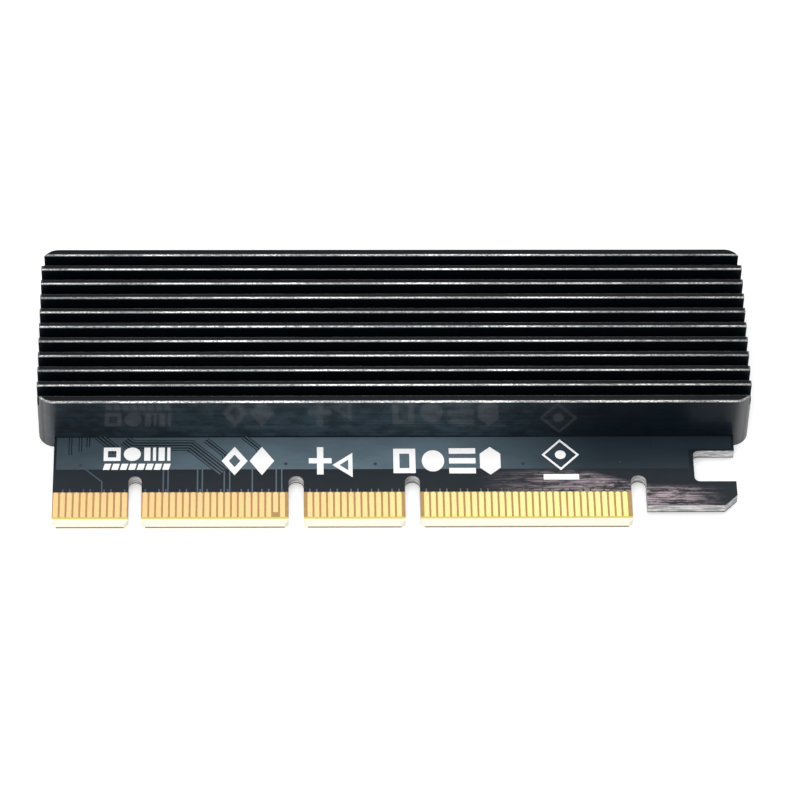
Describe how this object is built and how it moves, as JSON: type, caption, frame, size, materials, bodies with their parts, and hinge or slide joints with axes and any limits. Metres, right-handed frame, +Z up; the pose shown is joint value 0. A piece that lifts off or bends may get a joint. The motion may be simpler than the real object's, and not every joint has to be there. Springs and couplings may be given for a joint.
{
  "type": "nvme adapter card",
  "caption": "Expansion card adapter with a finned black aluminium cover over a card-edge circuit board that carries a small solid-state drive module.",
  "frame": {"origin": "middle of the card along the contact edge, halfway between the contact edge and the cover's far face, on the plane of the cover's lower rim", "axes": "+X along the contact edge towards the latch hook, +Y from the contact edge to the cover's far face, +Z up out of the fins"},
  "size_m": [0.1048, 0.0456, 0.0104],
  "materials": {
    "black_anodised": "satin black anodised, bright worn fin edges",
    "board_laminate": "black solder mask over glass-fibre laminate",
    "gold_contact": "gold plated copper",
    "socket_plastic": "moulded black plastic",
    "spring_contact": "gold plated copper alloy",
    "tinned_metal": "tin plated",
    "spacer_brass": "turned",
    "screw_steel": "nickel plated steel",
    "black_screw_steel": "black plated steel",
    "silicone_pad": "soft grey-blue silicone",
    "capacitor_ceramic": "tan ceramic",
    "resistor_ceramic": "black glazed top"
  },
  "bodies": {
    "root": {"finned_cover": "black_anodised", "circuit_board": "board_laminate", "module_socket": "socket_plastic", "upper_socket_pins": "spring_contact", "lower_socket_pins": "spring_contact", "socket_tabs": "tinned_metal", "module_spacer": "spacer_brass", "module_screw": "screw_steel", "cover_screws": "black_screw_steel", "thermal_pad": "silicone_pad", "ceramic_capacitors": "capacitor_ceramic", "capacitor_ends": "tinned_metal", "chip_resistors": "resistor_ceramic", "resistor_ends": "tinned_metal", "front_contacts_1": "gold_contact", "front_contacts_2": "gold_contact", "front_contacts_3": "gold_contact", "front_contacts_4": "gold_contact", "rear_contacts_1": "gold_contact", "rear_contacts_2": "gold_contact", "rear_contacts_3": "gold_contact", "rear_contacts_4": "gold_contact"}
  },
  "joints": []
}
